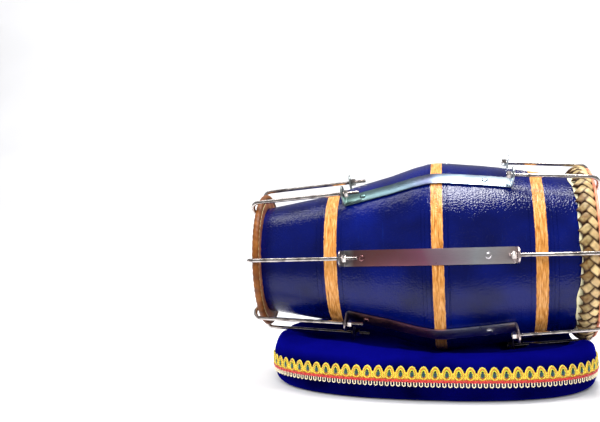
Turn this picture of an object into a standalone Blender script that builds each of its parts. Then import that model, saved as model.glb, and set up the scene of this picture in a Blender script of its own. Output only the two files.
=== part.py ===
# Bolt-tuned two-headed barrel drum lying in its upholstered cushion.
# Metres, Z up.  The drum's axis runs along X at AXIS_HEIGHT above the floor,
# with the treble head at -X and the bass head at +X.  An angle about the axis
# is 0 where it faces -Y and grows upwards.
import math
import bpy
import bmesh
from mathutils import Euler, Matrix, Vector

MM = 0.001
GAP = 0.3                      # clearance between touching pieces, mm

# ---- driving dimensions, millimetres ---------------------------------------
AXIS_HEIGHT = 167.0

# wooden shell: (position along the axis from the belly band, radius)
SHELL_OUTER = [(-232.0, 71.0), (-190.0, 78.3), (-145.9, 85.9), (-125.0, 92.1),
               (-60.0, 109.9), (-30.0, 119.5), (-10.0, 124.3), (0.0, 125.0),
               (12.0, 124.4), (30.0, 122.4), (60.0, 119.1), (90.0, 114.9),
               (132.8, 107.5), (160.0, 103.8), (189.0, 100.5)]
SHELL_INNER = [(189.0, 91.0), (130.0, 96.5), (60.0, 107.5), (0.0, 113.5),
               (-60.0, 98.5), (-145.0, 75.5), (-232.0, 63.0)]
SHELL_STEPS = 56

# tuning straps, bent up into an ear at each end
STRAP_COUNT = 7
FIRST_ANGLE = 7.0
STRAP_WIDTH = 20.5
STRAP_THICK = 2.0
EAR_TIP = 10.5                 # hole centre to rounded tip
EAR_LEAN = 8.0                 # degrees towards the head
EAR_HOLE = 3.2
BEND_RADIUS = 3.4
EARS = {"treble": (-121.5, 107.7), "bass": (95.5, 127.9)}
SCREWS = {"treble": -95.2, "bass": 60.6}
SCREW_SHANK = 1.6
SCREW_HEAD = 4.2
SCREW_LENGTH = 8.0

# hook rods and hexagon nuts
ROD = 2.5
RING_ROD = {"treble": (-236.0, 98.1), "bass": (180.0, 121.6)}
TAIL = {"treble": 14.0, "bass": 0.6}   # rod end beyond the nut
NUT_FLATS = 9.0
NUT_HIGH = 6.0
NUT_BACK = 4.65                # ear's middle to the nut's middle
CROOKS = {"treble": [(-236.5, 97.9), (-239.6, 96.9), (-242.1, 94.7), (-243.5, 91.6),
                     (-243.9, 88.0), (-243.5, 84.6), (-241.6, 80.9)],
          "bass": [(189.0, 120.8), (193.4, 119.9), (196.8, 117.9), (199.1, 114.7),
                   (199.9, 110.8), (199.7, 106.6), (198.4, 101.6)]}

# heads
HOOP_AT = (-236.1, 85.6)
HOOP = 4.5
TREBLE_SKIN = 81.5
TREBLE_FLAP = (48.0, 79.0)
TREBLE_PASTE = 27.0
COLLAR_EDGE = 170.4
BRAID_SPAN = (172.4, 192.5)
BRAID = (104.5, 113.7)
BASS_FLAP = 62.0
BASS_PASTE = 36.0
HEAD_STEPS = 48

# cushion
CUSHION_SIZE = (430.0, 226.0)
CUSHION_AT = (-17.0, -13.0)
CUSHION_TURN = -6.5
# the wall and rim from the underside to the sunk floor: (inset, height)
CUSHION_SECTION = [(14.0, 0.0), (4.5, 3.0), (0.0, 11.0), (0.0, 40.0), (3.5, 49.5),
                   (11.0, 54.5), (19.0, 54.0), (27.0, 48.0), (33.0, 41.0), (40.0, 38.0)]
CREST = 54.5                   # the section's own height, which the rim's heights replace
RIM_HEIGHTS = [(-215.0, 69.0), (-110.0, 69.0), (-40.0, 62.0), (25.0, 57.0),
               (150.0, 56.0), (185.0, 62.0), (215.0, 67.0)]
OVAL_POWER = 2.35
OVAL_POINTS = 64
TRIM_SPAN = (14.0, 40.0)
TRIM_THICK = 1.4
NEST_GAP = 3.4                 # round the shell
BRAID_GAP = 1.5

# room in the cushion under the lowest strap: start and end along the axis, floor
POCKETS = {"bass_screw": (52.4, 81.9, 36.0), "bass_ear": (77.3, 112.1, 24.0),
           "bass_rod": (104.7, 211.3, 38.0), "treble_ear": (-152.3, -94.1, 44.0),
           "treble_rod": (-250.0, -140.0, 58.0)}
POCKET_RADIUS = 118.0
POCKET_WIDTH = 28.6
POCKET_HIGH = 60.0

LOOKS = {
    "painted_wood": ((0.006, 0.014, 0.19), 0.0, 0.22),
    "bright_steel": ((0.62, 0.62, 0.64), 1.0, 0.25),
    "nickel_rod": ((0.70, 0.68, 0.62), 1.0, 0.22),
    "stitched_hide": ((0.52, 0.24, 0.07), 0.0, 0.55),
    "goat_skin": ((0.72, 0.62, 0.44), 0.0, 0.5),
    "outer_hide": ((0.66, 0.46, 0.26), 0.0, 0.55),
    "tuning_paste": ((0.012, 0.012, 0.013), 0.0, 0.5),
    "plaited_leather": ((0.55, 0.36, 0.17), 0.0, 0.6),
    "dyed_hide": ((0.74, 0.32, 0.20), 0.0, 0.6),
    "blue_velvet": ((0.010, 0.010, 0.22), 0.0, 0.9),
    "lace_trim": ((0.70, 0.50, 0.06), 0.0, 0.8),
}


# ---- helpers -----------------------------------------------------------------
def clear_scene():
    for ob in list(bpy.data.objects):
        bpy.data.objects.remove(ob, do_unlink=True)
    for group in list(bpy.data.collections):
        bpy.data.collections.remove(group)


def collection(name):
    group = bpy.data.collections.get(name)
    if group is None:
        group = bpy.data.collections.new(name)
        bpy.context.scene.collection.children.link(group)
    return group


def material(name):
    mat = bpy.data.materials.get(name)
    if mat is None:
        colour, metallic, roughness = LOOKS[name]
        mat = bpy.data.materials.new(name)
        mat.use_nodes = True
        shader = mat.node_tree.nodes["Principled BSDF"]
        shader.inputs["Base Color"].default_value = (*colour, 1.0)
        shader.inputs["Metallic"].default_value = metallic
        shader.inputs["Roughness"].default_value = roughness
    return mat


def new_object(name, data, look=None, group="drum"):
    ob = bpy.data.objects.new(name, data)
    collection(group).objects.link(ob)
    if look:
        data.materials.clear()
        data.materials.append(material(look))
    return ob


def axis_frame(angle):
    """From the strap frame, -Y outwards, to the world at this angle."""
    return (Matrix.Translation((0.0, 0.0, AXIS_HEIGHT * MM))
            @ Matrix.Rotation(-math.radians(angle), 4, "X"))


def table(points, at):
    """Straight-line interpolation in a list of (position, value)."""
    for (a0, v0), (a1, v1) in zip(points, points[1:]):
        if at <= a1:
            return v0 + (v1 - v0) * (at - a0) / (a1 - a0)
    return points[-1][1]


def strap_angle(index):
    return FIRST_ANGLE + 360.0 * index / STRAP_COUNT


def turned(name, profile, steps, look=None, closed=True, group="drum"):
    """Screw a profile of (axial, radius) about the drum's axis."""
    bm = bmesh.new()
    verts = [bm.verts.new((r * MM, 0.0, a * MM)) for a, r in profile]
    for one, two in zip(verts, verts[1:]):
        bm.edges.new((one, two))
    if closed:
        bm.edges.new((verts[-1], verts[0]))
    mesh = bpy.data.meshes.new(name)
    bm.to_mesh(mesh)
    bm.free()
    ob = new_object(name, mesh, look, group)
    ob.location = (0.0, 0.0, AXIS_HEIGHT * MM)
    ob.rotation_euler = Euler((0.0, math.radians(90.0), 0.0))
    screw = ob.modifiers.new("turn", "SCREW")
    screw.axis = "Z"
    screw.steps = steps
    screw.render_steps = steps
    screw.use_merge_vertices = True
    screw.merge_threshold = 0.00001
    screw.use_smooth_shade = True
    return ob


def evaluated_mesh(ob, name):
    """The object's mesh with its modifiers, welded."""
    bpy.context.view_layer.update()
    graph = bpy.context.evaluated_depsgraph_get()
    mesh = bpy.data.meshes.new_from_object(ob.evaluated_get(graph))
    mesh.name = name
    bm = bmesh.new()
    bm.from_mesh(mesh)
    bmesh.ops.remove_doubles(bm, verts=bm.verts, dist=0.00001)
    bmesh.ops.recalc_face_normals(bm, faces=bm.faces)
    bm.to_mesh(mesh)
    bm.free()
    return mesh


def baked(ob, group="drum"):
    """Replace an object by a mesh object with the same shape and name."""
    name = ob.name
    mesh = evaluated_mesh(ob, name)
    matrix = ob.matrix_world.copy()
    old = ob.data
    bpy.data.objects.remove(ob, do_unlink=True)
    if isinstance(old, bpy.types.Mesh):
        bpy.data.meshes.remove(old)
    else:
        bpy.data.curves.remove(old)
    fresh = bpy.data.objects.new(name, mesh)
    mesh.name = name
    fresh.matrix_world = matrix
    collection(group).objects.link(fresh)
    return fresh


def cutter_cylinder(name, base, axis, length, radius, sides, frame=None):
    """Round cutter from a base point along an axis, both in millimetres."""
    bm = bmesh.new()
    axis = Vector(axis).normalized()
    turn = Vector((0.0, 0.0, 1.0)).rotation_difference(axis).to_matrix().to_4x4()
    middle = Vector(base) + axis * (length / 2)
    matrix = Matrix.Translation(middle * MM) @ turn
    if frame is not None:
        matrix = frame @ matrix
    bmesh.ops.create_cone(bm, cap_ends=True, segments=sides, radius1=radius * MM,
                          radius2=radius * MM, depth=length * MM, matrix=matrix)
    mesh = bpy.data.meshes.new(name)
    bm.to_mesh(mesh)
    bm.free()
    return guide(new_object(name, mesh, group="cutters"))


def guide(ob):
    ob.hide_render = True
    ob.display_type = "WIRE"
    return ob


def subtract(target, cutter):
    cut = target.modifiers.new("cut " + cutter.name, "BOOLEAN")
    cut.operation = "DIFFERENCE"
    cut.solver = "EXACT"
    cut.object = cutter


# ---- points on the drum, in the strap frame (-Y outwards), millimetres ---------
def point(axial, radius):
    return Vector((axial, -radius, 0.0))


def outward_normal(axial):
    slope = (table(SHELL_OUTER, axial + 4) - table(SHELL_OUTER, axial - 4)) / 8
    return Vector((-slope, -1.0, 0.0)).normalized()


def screw_seat(side):
    """Where a screw's head meets the strap's outer face."""
    at = SCREWS[side]
    return point(at, table(SHELL_OUTER, at)) + outward_normal(at) * (GAP + STRAP_THICK)


def rod_direction(side):
    return (point(*RING_ROD[side]) - point(*EARS[side])).normalized()


def nut_middle(side):
    return point(*EARS[side]) - rod_direction(side) * NUT_BACK


# ---- shell -----------------------------------------------------------------
def build_shell():
    shell = turned("shell", SHELL_INNER + SHELL_OUTER, SHELL_STEPS, "painted_wood")
    for index in range(STRAP_COUNT):
        for side in SCREWS:
            out = outward_normal(SCREWS[side])
            hole = cutter_cylinder("shell_hole_%s_%d" % (side, index + 1),
                                   screw_seat(side) - out * (SCREW_LENGTH + 1.4), out,
                                   SCREW_LENGTH + 6.0, SCREW_SHANK + 0.35, 8,
                                   axis_frame(strap_angle(index)))
            subtract(shell, hole)


# ---- straps ----------------------------------------------------------------
def ear_rows(side):
    """(point, half width) from the rounded tip down to the strap's corner."""
    sign = -1.0 if side == "treble" else 1.0
    lean = math.radians(EAR_LEAN)
    up = Vector((sign * math.sin(lean), -math.cos(lean), 0.0))
    hole = point(*EARS[side])
    half = STRAP_WIDTH / 2
    rows = []
    for turn in (8.0, 25.0, 45.0, 68.0, 90.0):
        t = math.radians(turn)
        rows.append((hole + up * (EAR_TIP * math.cos(t)), half * math.sin(t)))
    on_shell = strap_radius(hole.x - sign * BEND_RADIUS)
    drop = (-hole.y - on_shell - BEND_RADIUS) / math.cos(lean)
    foot = hole - up * drop
    rows.append((foot, half))
    corner = foot + Vector((-sign * BEND_RADIUS * 0.30, BEND_RADIUS * 0.72, 0.0))
    rows.append((corner, half))
    return rows, foot.x - sign * BEND_RADIUS * 1.05


def strap_radius(axial):
    """Radius of the strap's middle plane over the shell, clear of its corners."""
    low = table(SHELL_OUTER, axial)
    chord = (table(SHELL_OUTER, axial - 3) + table(SHELL_OUTER, axial + 3)) / 2
    return max(low, chord) + GAP + 0.1 + STRAP_THICK / 2


def build_straps():
    treble, first = ear_rows("treble")
    bass, last = ear_rows("bass")
    bends = [a for a, _ in SHELL_OUTER if first + 4 < a < last - 4]
    stations = sorted([first, last] + bends)
    rows = treble + [(point(a, strap_radius(a)), STRAP_WIDTH / 2) for a in stations]
    rows += bass[::-1]
    bm = bmesh.new()
    left = [bm.verts.new((p - Vector((0, 0, w))) * MM) for p, w in rows]
    right = [bm.verts.new((p + Vector((0, 0, w))) * MM) for p, w in rows]
    for k in range(len(rows) - 1):
        bm.faces.new((left[k], left[k + 1], right[k + 1], right[k]))
    mesh = bpy.data.meshes.new("strap")
    bm.to_mesh(mesh)
    bm.free()
    strap = new_object("strap", mesh, "bright_steel")
    plate = strap.modifiers.new("plate", "SOLIDIFY")
    plate.thickness = STRAP_THICK * MM
    plate.offset = 0.0
    for side in EARS:
        along = rod_direction(side)
        subtract(strap, cutter_cylinder("ear_hole_" + side, point(*EARS[side]) - along * 6,
                                        along, 12.0, EAR_HOLE, 12))
        out = outward_normal(SCREWS[side])
        subtract(strap, cutter_cylinder("screw_hole_" + side, screw_seat(side) - out * 5,
                                        out, 9.0, SCREW_SHANK + 0.4, 8))
    mesh = evaluated_mesh(strap, "strap")
    bpy.data.objects.remove(strap, do_unlink=True)
    for index in range(STRAP_COUNT):
        ob = new_object("strap_%d" % (index + 1), mesh, "bright_steel")
        ob.matrix_world = axis_frame(strap_angle(index))


def build_screws():
    profile = [(SCREW_LENGTH, 0.0), (SCREW_LENGTH - 2.5, SCREW_SHANK), (-0.25, SCREW_SHANK),
               (-0.25, SCREW_HEAD), (-0.9, SCREW_HEAD), (-1.8, SCREW_HEAD * 0.7),
               (-2.2, 0.0)]
    master = turned("screw", [(-a, r) for a, r in profile], 8, "bright_steel", closed=False)
    mesh = evaluated_mesh(master, "screw")
    bpy.data.objects.remove(master, do_unlink=True)
    for side in SCREWS:
        out = outward_normal(SCREWS[side])
        turn = Vector((0.0, 0.0, 1.0)).rotation_difference(out).to_matrix().to_4x4()
        for index in range(STRAP_COUNT):
            ob = new_object("%s_screw_%d" % (side, index + 1), mesh, "bright_steel")
            ob.matrix_world = (axis_frame(strap_angle(index))
                               @ Matrix.Translation(screw_seat(side) * MM) @ turn)


# ---- hook rods and nuts ------------------------------------------------------
def build_hooks(side):
    middle = nut_middle(side)
    along = rod_direction(side)
    start = middle - along * (NUT_HIGH / 2 + TAIL[side])
    line = [start, point(*EARS[side]) + along * 8, point(*RING_ROD[side])]
    line += [point(a, r) for a, r in CROOKS[side]]
    curve = bpy.data.curves.new(side + "_hook", "CURVE")
    curve.dimensions = "3D"
    spline = curve.splines.new("POLY")
    spline.points.add(len(line) - 1)
    for slot, p in zip(spline.points, line):
        slot.co = (*((p - middle) * MM), 1.0)
    curve.bevel_depth = ROD * MM
    curve.bevel_resolution = 2
    curve.use_fill_caps = True
    master = new_object(side + "_hook", curve, "nickel_rod")
    mesh = evaluated_mesh(master, side + "_hook")
    bpy.data.objects.remove(master, do_unlink=True)
    for index in range(STRAP_COUNT):
        ob = new_object("%s_hook_%d" % (side, index + 1), mesh, "nickel_rod")
        ob.matrix_world = (axis_frame(strap_angle(index))
                           @ Matrix.Translation(middle * MM))


def build_nuts(side):
    bm = bmesh.new()
    corner = NUT_FLATS / math.sqrt(3.0)
    bmesh.ops.create_cone(bm, cap_ends=True, segments=6, radius1=corner * MM,
                          radius2=corner * MM, depth=NUT_HIGH * MM)
    mesh = bpy.data.meshes.new("nut")
    bm.to_mesh(mesh)
    bm.free()
    master = new_object("nut", mesh, "bright_steel")
    subtract(master, cutter_cylinder("nut_hole_" + side, (0, 0, -NUT_HIGH), (0, 0, 1),
                                     NUT_HIGH * 2, ROD + 0.4, 12))
    mesh = evaluated_mesh(master, side + "_nut")
    bpy.data.objects.remove(master, do_unlink=True)
    turn = Vector((0.0, 0.0, 1.0)).rotation_difference(rod_direction(side))
    for index in range(STRAP_COUNT):
        ob = new_object("%s_nut_%d" % (side, index + 1), mesh, "bright_steel")
        ob.matrix_world = (axis_frame(strap_angle(index))
                           @ Matrix.Translation(nut_middle(side) * MM)
                           @ turn.to_matrix().to_4x4())


# ---- heads -------------------------------------------------------------------
def build_treble_head():
    ring = [(HOOP_AT[0] - HOOP * math.sin(2 * math.pi * k / 10),
             HOOP_AT[1] + HOOP * math.cos(2 * math.pi * k / 10)) for k in range(10)]
    turned("treble_hoop", ring, HEAD_STEPS, "stitched_hide")
    turned("treble_skin", [(-232.3, 0.0), (-232.3, TREBLE_SKIN), (-233.5, TREBLE_SKIN),
                           (-233.5, 0.0)], HEAD_STEPS, "goat_skin", closed=False)
    inner, outer = TREBLE_FLAP
    turned("treble_outer_flap", [(-233.8, inner), (-233.8, outer), (-235.0, outer),
                                 (-235.0, inner)], HEAD_STEPS, "outer_hide")
    r = TREBLE_PASTE
    turned("treble_tuning_paste", [(-233.8, 0.0), (-233.8, r), (-234.5, r),
                                   (-235.3, r * 0.8), (-236.2, r * 0.35), (-236.4, 0.0)],
           40, "tuning_paste", closed=False)


def build_bass_head():
    edge = table(SHELL_OUTER, COLLAR_EDGE) + GAP
    mouth = SHELL_OUTER[-1][1] + GAP
    turned("bass_skin", [(190.5, 0.0), (190.5, mouth - 0.6), (190.1, mouth + 0.9),
                         (188.6, mouth + 1.3), (COLLAR_EDGE, edge + 1.25),
                         (COLLAR_EDGE, edge + 0.05), (189.3, mouth), (189.3, 0.0)],
           HEAD_STEPS, "goat_skin", closed=False)
    a0, a1 = BRAID_SPAN
    low, high = BRAID
    turned("bass_braid", [(a1 - 0.6, low), (a1, low + 1.6), (a1, high - 3.4),
                          (a1 - 2.6, high - 0.9), (a1 - 6.5, high), (a0 + 7.5, high - 0.4),
                          (a0 + 3.0, high - 2.6), (a0, low + 2.4), (a0 + 1.0, low)],
           HEAD_STEPS, "plaited_leather")
    turned("bass_outer_flap", [(192.2, BASS_FLAP), (192.2, 100.6), (195.2, 104.2),
                               (196.2, 108.5), (195.6, 110.4), (193.9, 110.8),
                               (192.8, 109.4), (192.8, 104.8), (190.8, 103.4),
                               (190.8, BASS_FLAP)], HEAD_STEPS, "dyed_hide")
    r = BASS_PASTE
    turned("bass_tuning_paste", [(189.0, 0.0), (189.0, r), (188.4, r), (187.6, r * 0.75),
                                 (187.1, 0.0)], 40, "tuning_paste", closed=False)


# ---- cushion -------------------------------------------------------------------
def oval(grow):
    """Points of the cushion's outline in millimetres, moved outwards by grow."""
    a, b = CUSHION_SIZE[0] / 2, CUSHION_SIZE[1] / 2
    p = 2.0 / OVAL_POWER
    points = []
    for k in range(OVAL_POINTS):
        t = 2 * math.pi * (k + 0.5) / OVAL_POINTS
        c, s = math.cos(t), math.sin(t)
        x = a * math.copysign(abs(c) ** p, c)
        y = b * math.copysign(abs(s) ** p, s)
        nx = math.copysign(abs(c) ** (2 - p), c) / a
        ny = math.copysign(abs(s) ** (2 - p), s) / b
        size = math.hypot(nx, ny)
        points.append((x + grow * nx / size, y + grow * ny / size))
    return points


def oval_curve(name, grow, half_height, middle):
    curve = bpy.data.curves.new(name, "CURVE")
    curve.dimensions = "2D"
    curve.extrude = half_height * MM
    spline = curve.splines.new("POLY")
    points = oval(grow)
    spline.points.add(len(points) - 1)
    for slot, (x, y) in zip(spline.points, points):
        slot.co = (x * MM, y * MM, 0.0, 1.0)
    spline.use_cyclic_u = True
    ob = new_object(name, curve)
    ob.location = (CUSHION_AT[0] * MM, CUSHION_AT[1] * MM, middle * MM)
    ob.rotation_euler = Euler((0.0, 0.0, math.radians(CUSHION_TURN)))
    return ob


def cushion_pad():
    """Rings of the oval joined from the underside over the rim to the sunk floor."""
    bm = bmesh.new()
    turn = Matrix.Rotation(math.radians(CUSHION_TURN), 3, "Z")
    rings = []
    for inset, height in CUSHION_SECTION:
        share = max(0.0, (height - CUSHION_SECTION[-1][1]) / (CREST - CUSHION_SECTION[-1][1]))
        ring = []
        for x, y in oval(-inset):
            rise = (table(RIM_HEIGHTS, x) - CREST) * share
            place = turn @ Vector((x, y, height + rise)) + Vector((*CUSHION_AT, 0.0))
            ring.append(bm.verts.new(place * MM))
        rings.append(ring)
    for low, high in zip(rings, rings[1:]):
        for k in range(OVAL_POINTS):
            after = (k + 1) % OVAL_POINTS
            bm.faces.new((low[k], low[after], high[after], high[k]))
    bm.faces.new(rings[0][::-1])
    bm.faces.new(rings[-1])
    mesh = bpy.data.meshes.new("cushion")
    bm.to_mesh(mesh)
    bm.free()
    return new_object("cushion", mesh, "blue_velvet")


def build_cushion():
    pad = cushion_pad()

    # the hollow follows the drum's belly and its bass rim
    room = [(a, r + NEST_GAP) for a, r in SHELL_OUTER if a < 168.0]
    room = [(-260.0, 70.0)] + room + [(168.0, 107.0), (168.3, BRAID[1] + BRAID_GAP),
                                      (230.0, BRAID[1] + BRAID_GAP)]
    profile = [(230.0, 0.0)] + room[::-1] + [(-260.0, 0.0)]
    hollow = guide(turned("hollow", profile, SHELL_STEPS, None, False, "cutters"))
    subtract(pad, hollow)

    # pockets for the lowest strap's screw, ears, rod and nut
    lowest = min((strap_angle(k) for k in range(STRAP_COUNT)),
                 key=lambda angle: math.sin(math.radians(angle)))
    middle_y = -POCKET_RADIUS * math.cos(math.radians(lowest))
    for name, (x0, x1, floor) in POCKETS.items():
        bm = bmesh.new()
        size = Matrix.Diagonal(((x1 - x0) * MM, POCKET_WIDTH * MM, POCKET_HIGH * MM, 1.0))
        middle = Vector(((x0 + x1) / 2, middle_y, floor + POCKET_HIGH / 2))
        bmesh.ops.create_cube(bm, size=1.0, matrix=Matrix.Translation(middle * MM) @ size)
        mesh = bpy.data.meshes.new(name + "_pocket")
        bm.to_mesh(mesh)
        bm.free()
        subtract(pad, guide(new_object(name + "_pocket", mesh, group="cutters")))

    low, top = TRIM_SPAN
    trim = oval_curve("cushion_trim", GAP + 0.1, (top - low) / 2, (top + low) / 2)
    trim.data.fill_mode = "NONE"
    trim = baked(trim)
    trim.data.materials.clear()
    trim.data.materials.append(material("lace_trim"))
    band = trim.modifiers.new("band", "SOLIDIFY")
    band.thickness = TRIM_THICK * MM
    band.offset = 1.0


def main():
    clear_scene()
    build_cushion()
    build_shell()
    build_treble_head()
    build_bass_head()
    build_straps()
    build_screws()
    for side in EARS:
        build_hooks(side)
        build_nuts(side)


main()
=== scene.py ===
import random
from math import atan2, copysign, cos, hypot, pi, radians, sin, sqrt

import bpy
from bpy.props import FloatProperty, FloatVectorProperty, IntProperty, PointerProperty
from mathutils import Matrix, Vector
from mathutils.bvhtree import BVHTree


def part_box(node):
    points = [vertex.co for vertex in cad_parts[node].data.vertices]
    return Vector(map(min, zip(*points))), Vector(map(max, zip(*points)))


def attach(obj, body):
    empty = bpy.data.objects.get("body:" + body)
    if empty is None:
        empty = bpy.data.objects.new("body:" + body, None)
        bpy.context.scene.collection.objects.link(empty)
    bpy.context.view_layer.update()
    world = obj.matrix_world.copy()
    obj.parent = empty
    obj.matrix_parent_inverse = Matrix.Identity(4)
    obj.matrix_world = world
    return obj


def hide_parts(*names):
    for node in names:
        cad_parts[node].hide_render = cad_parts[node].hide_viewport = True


bl_info = {
    "name": "Barrel drum workshop",
    "version": (1, 0, 0),
    "blender": (4, 5, 0),
    "location": "View3D > Sidebar > Drum",
    "description": "Dresses a packed barrel drum with painted wood, steel, hide and velvet",
    "category": "Object",
}

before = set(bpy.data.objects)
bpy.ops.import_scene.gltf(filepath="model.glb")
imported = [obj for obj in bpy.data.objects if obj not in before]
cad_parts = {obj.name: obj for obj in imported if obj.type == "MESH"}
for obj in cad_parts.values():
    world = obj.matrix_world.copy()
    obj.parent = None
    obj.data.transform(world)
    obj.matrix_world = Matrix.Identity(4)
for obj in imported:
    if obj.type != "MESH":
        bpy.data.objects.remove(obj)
bpy.context.view_layer.update()

MM = 0.001
TINY = 0.002                    # radius of a pole before its points are merged, mm
WELD = 0.00001                  # metres

# ---- the drum's own sizes: millimetres, and (along the axis, radius) for an outline ----
AXIS = sum(corner.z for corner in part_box("shell")) / 2      # height of the drum's axis, metres
SHELL_OUTER = [(-232.0, 71.0), (-190.0, 78.3), (-145.9, 85.9), (-125.0, 92.1),
               (-60.0, 109.9), (-30.0, 119.5), (-10.0, 124.3), (0.0, 125.0),
               (12.0, 124.4), (30.0, 122.4), (60.0, 119.1), (90.0, 114.9),
               (132.8, 107.5), (160.0, 103.8), (189.0, 100.5)]
SHELL_INNER = [(189.0, 91.0), (130.0, 96.5), (60.0, 107.5), (0.0, 113.5),
               (-60.0, 98.5), (-145.0, 75.5), (-232.0, 63.0)]
SHELL_STEPS = 168
SHELL_STATION = 7.0
WOOD_BANDS = [(-137.35, 8.55), (0.0, 7.2), (125.3, 7.5)]    # middle, half width
# Each groove's middle, width and depth.
GROOVES = [(-156.0, 0.9, 0.35), (-150.0, 0.8, 0.3), (-122.5, 0.9, 0.35), (-19.5, 0.8, 0.3),
           (-15.0, 0.8, 0.3), (-9.2, 1.2, 0.45), (9.0, 0.9, 0.35), (13.2, 2.1, 0.7),
           (111.6, 1.0, 0.35), (136.0, 0.9, 0.35), (140.0, 0.9, 0.35), (145.2, 1.1, 0.4)]

STRAPS = 7
FIRST_ANGLE = 7.0               # degrees
STRAP_HALF = 10.25
STRAP_THICK = 2.0
REFLECTION_LENGTH = 245.0             # how far along the drum the straps' painted reflection colours run
EAR_TIP = 10.5
EAR_LEAN = 8.0                  # degrees
EAR_HOLE = 3.2
BEND_RADIUS = 3.4
# Holes of the straps' ears, and the screws' places along the axis.
EARS = {"treble": (-121.5, 107.7), "bass": (95.5, 127.9)}
SCREWS = {"treble": -95.2, "bass": 60.6}
SCREW_HEAD = 4.0
SEAT_GAP = 0.4

ROD = 2.5
RING_ROD = {"treble": (-236.0, 98.1), "bass": (180.0, 121.6)}
# How far each rod sticks out past its nut.
TAIL = {"treble": 14.0, "bass": 0.6}
NUT_FLATS = 9.0
NUT_HIGH = 6.0
NUT_BACK = 4.65
THREAD_PITCH = 0.8
THREAD_DEPTH = 0.4
THREAD_PAST_NUT = 9.0
CROOKS = {"treble": [(-236.5, 97.9), (-239.6, 96.9), (-242.1, 94.7), (-243.5, 91.6),
                     (-243.9, 88.0), (-243.5, 84.6), (-241.6, 80.9)],
          "bass": [(189.0, 120.8), (193.4, 119.9), (196.8, 117.9), (199.1, 114.7),
                   (199.9, 110.8), (199.7, 106.6), (198.4, 101.6)]}

HOOP_AT = (-236.1, 85.6)
HOOP = 4.5
HOOP_RIBS = 190
TUCK_AT = (-0.2320, 0.0722)     # where the skin's tucked edge starts to ruffle, metres
COLLAR_FROM = 168.6
WAVY_FROM, WAVY_LONG = 0.178, 0.009         # where the collar's edge gets its waves, metres
WAVY_OUTSIDE = 0.0995
BASS_END = (168.0, 206.0, 116.0)            # the room that the bass end takes: from, to, radius
BRAID_MIDDLE = (182.6, 112.3)   # along the axis, radius of the tiles' middles
TILE = (15.0, 10.2, 3.6)
TILE_LEAN = 50.0                # degrees

CUSHION_SIZE = (430.0, 226.0)
CUSHION_AT = (-17.0, -13.0)
CUSHION_TURN = -6.5             # degrees
CLOTH_FRAMES = 20
NEST_GAP = 1.6                  # between the velvet and the drum
OVAL_POWER = 2.35
OVAL_POINTS = 720
TRIM_LOW = (16.0, 5.0)          # height at the oval's ends, and the rise along its sides
TRIM_MOTIFS = 76
PLY_REPEAT = 4.41               # makes the thread's diagonal plies 1.6 mm apart
REACH = 9.0                     # furthest that the wall can be from its oval

PAPER_WIDE = 9.0                # the studio paper, metres
PAPER_FRONT = -0.34
PAPER_FOLD = 0.5
PAPER_BACK = 3.0
PAPER_RISE = 5.0
PAPER_CURVE = 1.4

CAMERA_AT = (0.0237, -1.2417, 0.3327)
CAMERA_YAW = 9.707              # degrees
CAMERA_DOWN = 4.502
CAMERA_ROLL = -2.566


# ---- colours and materials --------------------------------------------------------
def linear(hexadecimal):
    """An sRGB hex colour as the linear red, green, blue and alpha that shaders take."""
    parts = [int(hexadecimal[k:k + 2], 16) / 255 for k in (1, 3, 5)]
    return [c / 12.92 if c <= 0.04045 else ((c + 0.055) / 1.055) ** 2.4 for c in parts] + [1.0]


def add(tree, kind, inputs=(), output=0, stops=(), **settings):
    """Add a node with its settings, colour stops, values and links, and give one output."""
    made = tree.nodes.new("ShaderNode" + kind)
    for key, value in settings.items():
        setattr(made, key, value)
    for _ in stops[2:]:                                 # a new ramp has two stops
        made.color_ramp.elements.new(0.5)
    for number, (position, colour) in enumerate(stops):
        made.color_ramp.elements[number].position = position
        made.color_ramp.elements[number].color = (
            linear(colour) if isinstance(colour, str) else colour)
    for key, value in dict(inputs).items():
        if isinstance(value, bpy.types.NodeSocket):
            tree.links.new(value, made.inputs[key])
        else:
            made.inputs[key].default_value = value
    return made.outputs[output]


def new_material(name, roughness, metallic=0.0, **sockets):
    """A material, its tree, its shader and the piece's own coordinates."""
    made = bpy.data.materials.new(name)
    made.use_nodes = True
    tree = made.node_tree
    shader = tree.nodes["Principled BSDF"]
    shader.inputs["Roughness"].default_value = roughness
    shader.inputs["Metallic"].default_value = metallic
    for key, value in sockets.items():
        shader.inputs[key.replace("_", " ")].default_value = value
    return made, tree, shader, add(tree, "TexCoord", output="Object")


def feed(shader, socket, output):
    """Link an output to one of the shader's sockets."""
    shader.id_data.links.new(output, shader.inputs[socket])


def mottling(tree, place, size, detail=3.0, stretch=(1.0, 1.0, 1.0)):
    """Mottling whose features are size millimetres across, times stretch along each axis."""
    drawn = add(tree, "Mapping", {"Vector": place, "Scale": [1.0 / s for s in stretch]})
    return add(tree, "TexNoise", {"Vector": drawn, "Scale": 1000.0 / size, "Detail": detail})


def relief(tree, shader, *heights):
    """Raise the surface by (0 to 1 pattern, height in millimetres), added together."""
    total = 0.0
    for pattern, height in heights:
        total = add(tree, "Math", {0: pattern, 1: height * MM, 2: total},
                    operation="MULTIPLY_ADD")
    feed(shader, "Normal", add(tree, "Bump", {"Height": total, "Strength": 1.0, "Distance": 1.0}))


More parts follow.
